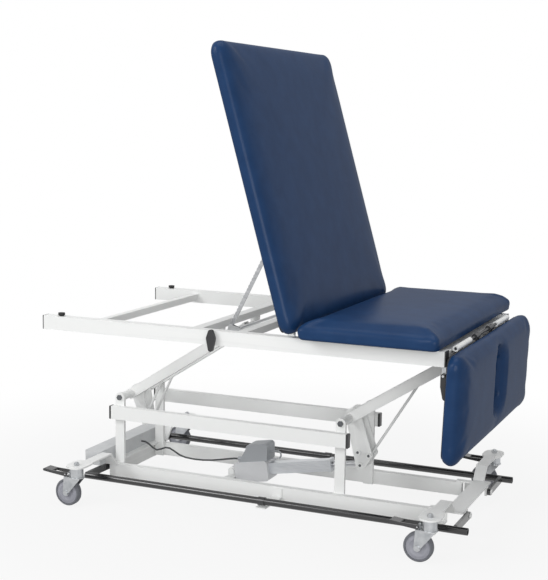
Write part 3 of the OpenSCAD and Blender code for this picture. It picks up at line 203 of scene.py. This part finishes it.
BRUSHED_UP, BRUSHED_ALONG = (1, 1, 14), (1, 14, 14)
MATERIALS = {
    "paint": material("powder_coat", srgb(222, 223, 223), srgb(231, 232, 231), rough=(0.34, 0.46), scale=9,
                      bump=0.12, bump_scale=900, wear=srgb(240, 241, 240)),
    "vinyl": material("navy_vinyl", srgb(24, 52, 89), srgb(30, 59, 98), rough=(0.34, 0.42), scale=14,
                      bump=0.10, bump_scale=620, bump_dist=0.0003, spec=0.0, coat=0.27, leather=True,
                      waves=(0.10, 3.5)),
    "board": material("dust_cover", srgb(24, 26, 30), srgb(34, 36, 41), rough=(0.8, 0.9), scale=60,
                      bump=0.3, bump_scale=1200),
    "black": material("black_plastic", srgb(20, 20, 22), srgb(28, 28, 30), rough=(0.35, 0.5), scale=40,
                      bump=0.08, bump_scale=1500, wear=srgb(44, 44, 46)),
    "black_bar": material("black_coat", srgb(18, 18, 20), srgb(26, 26, 28), rough=(0.16, 0.26), scale=25,
                          bump=0.06, bump_scale=900, spec=0.8, wear=srgb(44, 44, 46)),
    "rubber": material("black_rubber", srgb(22, 22, 23), srgb(32, 32, 33), rough=(0.6, 0.75), scale=40,
                       bump=0.15, bump_scale=1100),
    "zinc": material("zinc_plate", srgb(168, 171, 174), srgb(196, 198, 200), rough=(0.28, 0.42), scale=45,
                     bump=0.08, bump_scale=700, metal=1.0, wear=srgb(214, 215, 216)),
    "steel": material("brushed_steel", srgb(160, 162, 165), srgb(190, 191, 193), rough=(0.25, 0.4), scale=18,
                      bump=0.1, bump_scale=260, metal=1.0, stretch=BRUSHED_UP),
    # The drop's hinge arms get a steel darker than their own slot, to match the dark strip between the hinge
    # barrels
    "darkened_hinge_steel": material("darkened_hinge_steel", srgb(58, 59, 61), srgb(74, 75, 77), rough=(0.4, 0.55), scale=18,
                           bump=0.1, bump_scale=260, metal=0.8, stretch=BRUSHED_UP),
    "alu": material("drawn_aluminium", srgb(206, 209, 213), srgb(226, 228, 231), rough=(0.3, 0.42), scale=20,
                    bump=0.1, bump_scale=260, metal=0.6, stretch=BRUSHED_ALONG),
    "bolt": material("bolt_steel", srgb(84, 86, 89), srgb(112, 114, 117), rough=(0.35, 0.5), scale=60,
                     bump=0.1, bump_scale=700, metal=0.85),
    "motor": material("cast_grey", srgb(212, 214, 217), srgb(226, 227, 229), rough=(0.4, 0.55), scale=22,
                      bump=0.25, bump_scale=420, bump_dist=0.0003, metal=0.35, wear=srgb(205, 206, 208)),
    "box": material("box_grey", srgb(198, 200, 202), srgb(209, 211, 212), rough=(0.45, 0.6), scale=16,
                    bump=0.2, bump_scale=700),
    "tyre": material("grey_tread", srgb(98, 100, 106), srgb(112, 114, 120), rough=(0.55, 0.7), scale=50,
                     bump=0.15, bump_scale=900),
    "hub": material("hub_grey", srgb(142, 143, 152), srgb(160, 161, 169), rough=(0.35, 0.5), scale=30,
                    bump=0.06, bump_scale=800),
    "cable": material("cable_grey", srgb(52, 54, 57), srgb(66, 68, 71), rough=(0.45, 0.6), scale=60,
                      bump=0.1, bump_scale=900),
}

# The motor's hood is a darker casting: all of it that lies further than HOOD_FROM along HOOD_UP
HOOD_UP = (-0.17182, 0.0, 0.98513)
HOOD_FROM = 0.1557
HOOD_COLOUR = srgb(166, 169, 173)


def darken_hood(tree):
    shader = next(n for n in tree.nodes if n.type == "BSDF_PRINCIPLED")
    casting = shader.inputs["Base Color"].links[0].from_socket
    place = add_node(tree, "ShaderNodeTexCoord").outputs["Object"]
    height = tree.nodes.new("ShaderNodeVectorMath")
    height.operation = "DOT_PRODUCT"
    height.inputs[1].default_value = HOOD_UP
    tree.links.new(place, height.inputs[0])
    above = tree.nodes.new("ShaderNodeMath")
    above.operation = "GREATER_THAN"
    above.inputs[1].default_value = HOOD_FROM
    tree.links.new(height.outputs["Value"], above.inputs[0])
    hooded = mix_colours(tree, above.outputs[0], casting, HOOD_COLOUR)
    tree.links.new(hooded, shader.inputs["Base Color"])


darken_hood(MATERIALS["motor"].node_tree)

# Each CAD node gets the material of its slot, or the one that is named for it here
OWN_LOOKS = {"actuator_tube": "alu", "drop_hinge_arms": "darkened_hinge_steel", "pivot_bolts": "bolt"}
slot_of = {part["node"]: part["material_slot"] for part in frame["record"]["subparts"]}
for name, node in frame["nodes"].items():
    for slot in node.material_slots:
        slot.material = MATERIALS[OWN_LOOKS.get(name, slot_of[name])]


# Mesh helpers
def new_object(name, mesh, look=None):
    obj = bpy.data.objects.new(name, mesh)
    scene.collection.objects.link(obj)
    if look:
        mesh.materials.append(MATERIALS[look])
    return obj


def skin(bm, rings):
    """Faces between each ring of points and the next."""
    steps = len(rings[0])
    for low, high in zip(rings, rings[1:]):
        for k in range(steps):
            after = (k + 1) % steps
            bm.faces.new((low[k], low[after], high[after], high[k]))


def close_mesh(bm, name):
    bmesh.ops.recalc_face_normals(bm, faces=bm.faces)
    mesh = bpy.data.meshes.new(name)
    bm.to_mesh(mesh)
    bm.free()
    return mesh


def smooth(obj):
    for face in obj.data.polygons:
        face.use_smooth = True


def lathe(name, profile, look, at, steps=48):
    """Turns a profile of (radius, along) pairs round an axis along Y."""
    bm = bmesh.new()
    rings = []
    for r, along in profile:
        ring = []
        for k in range(steps):
            a = 2 * math.pi * k / steps
            ring.append(bm.verts.new((r * math.cos(a) + at[0], along + at[1], r * math.sin(a) + at[2])))
        rings.append(ring)
    skin(bm, rings)
    bm.faces.new(rings[0][::-1])
    bm.faces.new(rings[-1])
    return new_object(name, close_mesh(bm, name), look)


def apply_all(obj):
    bpy.context.view_layer.update()
    graph = bpy.context.evaluated_depsgraph_get()
    new = bpy.data.meshes.new_from_object(obj.evaluated_get(graph))
    old = obj.data
    obj.modifiers.clear()
    obj.data = new
    bpy.data.meshes.remove(old)


def coords(mesh):
    flat = np.empty(len(mesh.vertices) * 3)
    mesh.vertices.foreach_get("co", flat)
    return flat.reshape(-1, 3)


# Cushions: a crowned slab with rolled edges, swollen by simulated cloth
CORNER_STEPS, SIDE_STEPS = 9, 14
LOW_STEPS, ROLL_STEPS = 5, 9
SIDE_SHARES = (0.35, 0.7)
CROWN = 0.008
CROWN_CURVE = ((0.16, 0.3), (0.24, 0.5), (0.36, 0.7), (0.52, 0.86), (0.72, 0.96), (0.9, 0.995))
BULGE, LOW_BULGE = 0.0035, 0.4
ROLL_DEPTH = 1.25
CORNER_TIGHTENS, CORNER_LEAST = 0.55, 0.004
FLARE_REACH, FLARE_DEPTH = 0.11, 0.06


def rounded_ring(half_x, half_y, r):
    """A rounded rectangle about the middle, counter-clockwise."""
    far_x, far_y = half_x - r, half_y - r
    centres = [(far_x, far_y, 0), (-far_x, far_y, 90), (-far_x, -far_y, 180), (far_x, -far_y, 270)]
    ring = []
    for i, (x, y, turned) in enumerate(centres):
        for k in range(CORNER_STEPS):
            a = math.radians(turned + 90 * k / (CORNER_STEPS - 1))
            ring.append((x + r * math.cos(a), y + r * math.sin(a)))
        next_x, next_y, next_turned = centres[(i + 1) % 4]
        a = math.radians(next_turned)
        x0, y0 = ring[-1]
        x1, y1 = next_x + r * math.cos(a), next_y + r * math.sin(a)
        for k in range(1, SIDE_STEPS):
            share = k / SIDE_STEPS
            ring.append((x0 + (x1 - x0) * share, y0 + (y1 - y0) * share))
    return ring


def cushion_profile(half, thick, edge, low_r):
    """(inset, height) pairs from the underside's edge, up the side and in over the crown."""
    profile = []
    for k in range(LOW_STEPS):
        a = math.radians(90 * k / (LOW_STEPS - 1))
        inset = low_r * (1 - math.sin(a)) - BULGE * LOW_BULGE * math.sin(a)
        profile.append((inset, low_r * (1 - math.cos(a))))
    for share in SIDE_SHARES:
        inset = -BULGE * (LOW_BULGE + (1 - LOW_BULGE) * share)
        profile.append((inset, low_r + (thick - edge - low_r) * share))
    for k in range(ROLL_STEPS):
        a = math.radians(90 * k / (ROLL_STEPS - 1))
        inset = edge * ROLL_DEPTH * (1 - math.cos(a)) - BULGE
        profile.append((inset, thick - edge + edge * math.sin(a)))
    for share, rise in CROWN_CURVE:
        profile.append((share * half, thick + CROWN * rise))
    return profile


def cushion(name, length, width, thick, corner, edge, low_r, flare):
    """Upholstered slab: flat underside, full rolled edges, flared corners and a crowned face."""
    bm = bmesh.new()
    rings = []
    for inset, z in cushion_profile(min(length, width) / 2, thick, edge, low_r):
        half_x, half_y = length / 2 - inset, width / 2 - inset
        swell = math.sin(math.pi * min(max(z / thick, 0.0), 1.0))
        ring = []
        for x, y in rounded_ring(half_x, half_y, max(corner - inset * CORNER_TIGHTENS, CORNER_LEAST)):
            away = math.hypot(half_x - abs(x), half_y - abs(y))
            out = max(0.0, 1 - away / FLARE_REACH) ** 2 * swell * flare if inset < FLARE_DEPTH else 0.0
            ring.append(bm.verts.new((x + math.copysign(out, x), y + math.copysign(out, y), z)))
        rings.append(ring)
    skin(bm, rings)
    steps = len(rings[0])
    for ring, z, turned_down in ((rings[0], 0.0, True), (rings[-1], thick + CROWN, False)):
        middle = bm.verts.new((0, 0, z))
        for k in range(steps):
            face = (ring[k], ring[(k + 1) % steps], middle)
            bm.faces.new(face[::-1] if turned_down else face)
    return new_object(name, close_mesh(bm, name), "vinyl")


CUTTER_STEPS = 19
CUTTER_LOW, CUTTER_HIGH = -0.01, 0.09


def slot_cutter(x0, x1, r):
    """A solid slot with round ends, through the whole thickness of a cushion."""
    outline = []
    for x, turned in ((x1 - r, -90), (x0 + r, 90)):
        for k in range(CUTTER_STEPS):
            a = math.radians(turned + 180 * k / (CUTTER_STEPS - 1))
            outline.append((x + r * math.cos(a), r * math.sin(a)))
    bm = bmesh.new()
    low, high = ([bm.verts.new((x, y, z)) for x, y in outline] for z in (CUTTER_LOW, CUTTER_HIGH))
    skin(bm, [low, high])
    bm.faces.new(low[::-1])
    bm.faces.new(high)
    return new_object("cutter", close_mesh(bm, "cutter"))


REMESH_ROUNDS = 6
UNDERSIDE, HELD_TO = 0.0004, 0.006
CLOTH_FRAMES, CLOTH_QUALITY, CLOTH_MASS = 20, 4, 0.3
STRETCH_STIFF, SHEAR_STIFF, BEND_STIFF = 40, 20, 2.0
PRESSURE = 4.0
TINY = 1e-9


def relax(obj, rounds):
    smoothing = obj.modifiers.new("smooth", "SMOOTH")
    smoothing.factor = 0.5
    smoothing.iterations = rounds
    apply_all(obj)


def puff(obj, voxel, most):
    """Lets the cover swell under a little pressure, held at its underside, by no more than most."""
    remesh = obj.modifiers.new("remesh", "REMESH")
    remesh.mode = "VOXEL"
    remesh.voxel_size = voxel
    apply_all(obj)
    relax(obj, REMESH_ROUNDS)
    base = coords(obj.data).copy()
    base[:, 2] = np.maximum(base[:, 2], UNDERSIDE)
    obj.data.vertices.foreach_set("co", base.ravel())
    held = obj.vertex_groups.new(name="held")
    held.add([int(i) for i in np.nonzero(base[:, 2] < HELD_TO)[0]], 1.0, "REPLACE")
    cloth = obj.modifiers.new("cloth", "CLOTH")
    settings = cloth.settings
    settings.quality = CLOTH_QUALITY
    settings.mass = CLOTH_MASS
    settings.tension_stiffness = settings.compression_stiffness = STRETCH_STIFF
    settings.shear_stiffness = SHEAR_STIFF
    settings.bending_stiffness = BEND_STIFF
    settings.use_pressure = True
    settings.uniform_pressure_force = PRESSURE
    settings.effector_weights.gravity = 0.0
    settings.vertex_group_mass = "held"
    cloth.collision_settings.use_collision = False
    cloth.collision_settings.use_self_collision = False
    cloth.point_cache.frame_start = 1
    cloth.point_cache.frame_end = CLOTH_FRAMES
    for f in range(1, CLOTH_FRAMES + 1):
        scene.frame_set(f)
    graph = bpy.context.evaluated_depsgraph_get()
    moved = coords(obj.evaluated_get(graph).to_mesh())
    step = moved - base
    size = np.linalg.norm(step, axis=1)
    moved = base + step * np.minimum(1.0, most / np.maximum(size, TINY))[:, None]
    obj.evaluated_get(graph).to_mesh_clear()
    obj.modifiers.clear()
    obj.vertex_groups.clear()
    scene.frame_set(1)
    obj.data.vertices.foreach_set("co", moved.ravel())
    obj.data.update()


RIM_ROLL, RIM_RISE = 0.026, 0.006


def roll_hole(obj, x0, x1, r, thick):
    """Rolls the cover over the rim of the face opening."""
    points = coords(obj.data)
    mid = np.clip(points[:, 0], x0 + r, x1 - r)
    away = np.clip(np.hypot(points[:, 0] - mid, points[:, 1]) - r, 0.0, RIM_ROLL)
    fall = RIM_ROLL - np.sqrt(np.maximum(RIM_ROLL ** 2 - (RIM_ROLL - away) ** 2, 0.0))
    near = away < RIM_ROLL
    points[near, 2] = np.minimum(points[near, 2], thick + RIM_RISE - fall[near])
    obj.data.vertices.foreach_set("co", points.ravel())
    obj.data.update()


# The pads' places in metres, with the lean that each has at rest
RAIL_Z1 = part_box("top_rail_front")[1].z
PAD_LIFT, HINGE_DROP = 0.005, 0.0015
SEAT_Z = RAIL_Z1 + PAD_LIFT
HALF_W = 0.508
PAD_T = 0.0615
SEAT_X0, SEAT_X1 = 0.2285, 0.7165
BACK_X, BACK_LEN, BACK_LEAN = 0.170, 1.019, math.radians(73.75)
DROP_X, DROP_Z = 0.7345, RAIL_Z1 - HINGE_DROP
DROP_LEN, DROP_LEAN = 0.366, math.radians(91.8)
FACE_HOLE_X0, FACE_HOLE_X1, FACE_HOLE_R = -0.138, 0.098, 0.066

place_seat = Matrix.Translation(((SEAT_X0 + SEAT_X1) / 2, 0, SEAT_Z))
turn_back = Matrix.Translation((BACK_X, 0, SEAT_Z)) @ Matrix.Rotation(BACK_LEAN, 4, "Y")
place_back = turn_back @ Matrix.Translation((-BACK_LEN / 2, 0, 0))
turn_drop = Matrix.Translation((DROP_X, 0, DROP_Z)) @ Matrix.Rotation(DROP_LEAN, 4, "Y")
place_drop = turn_drop @ Matrix.Translation((DROP_LEN / 2, 0, SEAT_Z - DROP_Z))

# A pad starts smaller by this at its top and sides, because its cover swells
SHRINK = 0.0015
PLAIN_ROUNDS, HOLE_ROUNDS = 5, 9


def upholster(name, length, place, body, old, voxel, most, corner, edge, low_r, flare, hole=None):
    """One pad, with hole as (x0, x1, radius) of an opening through it."""
    thick = PAD_T - SHRINK
    pad = cushion(name, length - 2 * SHRINK, 2 * (HALF_W - SHRINK), thick, corner, edge, low_r, flare)
    if hole:
        cutter = slot_cutter(*hole)
        cut = pad.modifiers.new("cut", "BOOLEAN")
        cut.operation = "DIFFERENCE"
        cut.solver = "EXACT"
        cut.object = cutter
        apply_all(pad)
        bpy.data.objects.remove(cutter)
    puff(pad, voxel, most)
    if hole:
        roll_hole(pad, *hole, thick)
    relax(pad, HOLE_ROUNDS if hole else PLAIN_ROUNDS)
    finer = pad.modifiers.new("finer", "SUBSURF")
    finer.levels = finer.render_levels = 1
    apply_all(pad)
    smooth(pad)
    # The mesh itself is moved, so that the object stays at the origin
    pad.data.transform(place)
    pad.data.update()
    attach(pad, body)
    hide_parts(*old)


upholster("seat_pad", SEAT_X1 - SEAT_X0, place_seat, "top_frame", ["seat_cushion"], voxel=0.007, most=0.006,
          corner=0.026, edge=0.034, low_r=0.006, flare=0.009)
upholster("back_pad", BACK_LEN, place_back, "back", ["back_cushion"], voxel=0.009, most=0.0045,
          corner=0.046, edge=0.032, low_r=0.015, flare=0.003)
upholster("drop_pad", DROP_LEN, place_drop, "drop", ["drop_cushion"], voxel=0.006, most=0.004,
          corner=0.046, edge=0.034, low_r=0.022, flare=0.004, hole=(FACE_HOLE_X0, FACE_HOLE_X1, FACE_HOLE_R))

# Caster hubs: stepped discs on both faces of each wheel, which trails behind its stem
STEM_X = {"left": -0.6665, "right": 0.6905}
STEM_Y = {"front": -0.442, "back": 0.442}
WHEEL_TRAIL, WHEEL_R = 0.036, 0.051
HUB_SPLIT = math.radians(35)
HUB_FACE = [(0.0056, 0.0164), (0.0128, 0.0164), (0.0145, 0.0154), (0.0145, 0.0117), (0.0265, 0.0117),
            (0.0285, 0.0130), (0.0335, 0.0130), (0.0355, 0.0117), (0.0416, 0.0117)]
hub_profile = [(r, -along) for r, along in HUB_FACE] + HUB_FACE[::-1]
for y_name, y in STEM_Y.items():
    for x_name, x in STEM_X.items():
        key = y_name + "_" + x_name
        hub = lathe("hub_" + key, hub_profile, "hub", (x - WHEEL_TRAIL, y, WHEEL_R))
        smooth(hub)
        hub.modifiers.new("edges", "EDGE_SPLIT").split_angle = HUB_SPLIT
        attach(hub, "wheel_" + key)

# Dark faces on the crank's bolt heads, as (x, z) of each bolt
CRANK_BOLTS = {"cross": (0.2915, 0.224), "crank": (0.30164, 0.17594), "stay": (0.334, 0.216)}
HEAD_Y = 0.039
HEAD_R, HEAD_STEPS = 0.0052, 24
HEAD_EDGE, HEAD_TOP, HEAD_TOP_R = 0.0007, 0.0010, 0.0044
for key, (x, z) in CRANK_BOLTS.items():
    for side_name, way in (("front", -1), ("back", 1)):
        profile = [(HEAD_R, 0.0), (HEAD_R, way * HEAD_EDGE), (HEAD_TOP_R, way * HEAD_TOP)]
        face = lathe("bolt_%s_%s" % (key, side_name), profile, "bolt", (x, way * HEAD_Y, z), HEAD_STEPS)
        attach(face, "main_arm")

# Stage: the camera and reflections see a white room, and the object keeps its shadow on the floor
WHITE = (1, 1, 1, 1)
FLOOR_SIZE, FLOOR_Z = 40, -0.0005
FLOOR_GREY = (0.5, 0.5, 0.5, 1)
FADE_NEAR, FADE_FAR = 0.9, 2.4
WHITE_NEAR, WHITE_FAR = 0.88, 1.0
WORLD_SOFT = 0.48


def seen_directly(tree, rays):
    """1 for what the camera sees, straight or in a reflection, otherwise 0."""
    return math_node(tree, "MAXIMUM", rays.outputs["Is Camera Ray"], rays.outputs["Is Glossy Ray"])


def join_shaders(tree, share, first, second, out):
    mix = tree.nodes.new("ShaderNodeMixShader")
    tree.links.new(share, mix.inputs[0])
    tree.links.new(first.outputs[0], mix.inputs[1])
    tree.links.new(second.outputs[0], mix.inputs[2])
    tree.links.new(mix.outputs[0], out.inputs[0])


def make_floor():
    """A grey floor that shows its shadow near the object and turns into plain white further out."""
    bpy.ops.mesh.primitive_plane_add(size=FLOOR_SIZE, location=(0, 0, FLOOR_Z))
    floor = bpy.context.object
    floor.name = "floor"
    look = bpy.data.materials.new("floor")
    tree = empty_tree(look)
    place = add_node(tree, "ShaderNodeTexCoord").outputs["Object"]
    away = tree.nodes.new("ShaderNodeVectorMath")
    away.operation = "LENGTH"
    tree.links.new(place, away.inputs[0])
    fade = add_node(tree, "ShaderNodeMapRange", {
        "From Min": FADE_NEAR, "From Max": FADE_FAR, "To Min": WHITE_NEAR, "To Max": WHITE_FAR})
    fade.interpolation_type = "SMOOTHSTEP"
    tree.links.new(away.outputs["Value"], fade.inputs["Value"])
    seen = seen_directly(tree, tree.nodes.new("ShaderNodeLightPath"))
    share = math_node(tree, "MULTIPLY", seen, fade.outputs[0])
    grey = add_node(tree, "ShaderNodeBsdfDiffuse", {"Color": FLOOR_GREY})
    white = add_node(tree, "ShaderNodeEmission", {"Color": WHITE, "Strength": 1.0})
    join_shaders(tree, share, grey, white, add_node(tree, "ShaderNodeOutputMaterial"))
    floor.data.materials.append(look)


def make_world():
    world = bpy.data.worlds.new("world")
    scene.world = world
    tree = empty_tree(world)
    rays = tree.nodes.new("ShaderNodeLightPath")
    seen = math_node(tree, "MAXIMUM", seen_directly(tree, rays), rays.outputs["Is Transmission Ray"])
    soft = add_node(tree, "ShaderNodeBackground", {"Color": WHITE, "Strength": WORLD_SOFT})
    white = add_node(tree, "ShaderNodeBackground", {"Color": WHITE, "Strength": 1.0})
    join_shaders(tree, seen, soft, white, add_node(tree, "ShaderNodeOutputWorld"))


def make_lamp(name, at, to, size, power):
    data = bpy.data.lights.new(name, "AREA")
    data.shape = "RECTANGLE"
    data.size, data.size_y = size
    data.energy = power
    lamp = bpy.data.objects.new(name, data)
    lamp.location = at
    lamp.rotation_mode = "QUATERNION"
    lamp.rotation_quaternion = (Vector(to) - Vector(at)).to_track_quat("-Z", "Y")
    scene.collection.objects.link(lamp)


make_floor()
make_world()
make_lamp("key", at=(-3.2, -4.2, 3.6), to=(0, 0, 0.6), size=(2.6, 2.0), power=120)
make_lamp("top", at=(0.3, -0.4, 4.6), to=(0, 0, 0.5), size=(3.0, 2.4), power=42)
make_lamp("fill", at=(2.4, -5.2, 1.7), to=(0.2, 0, 0.5), size=(2.8, 2.2), power=105)

bpy.context.scene.view_settings.view_transform = "Standard"
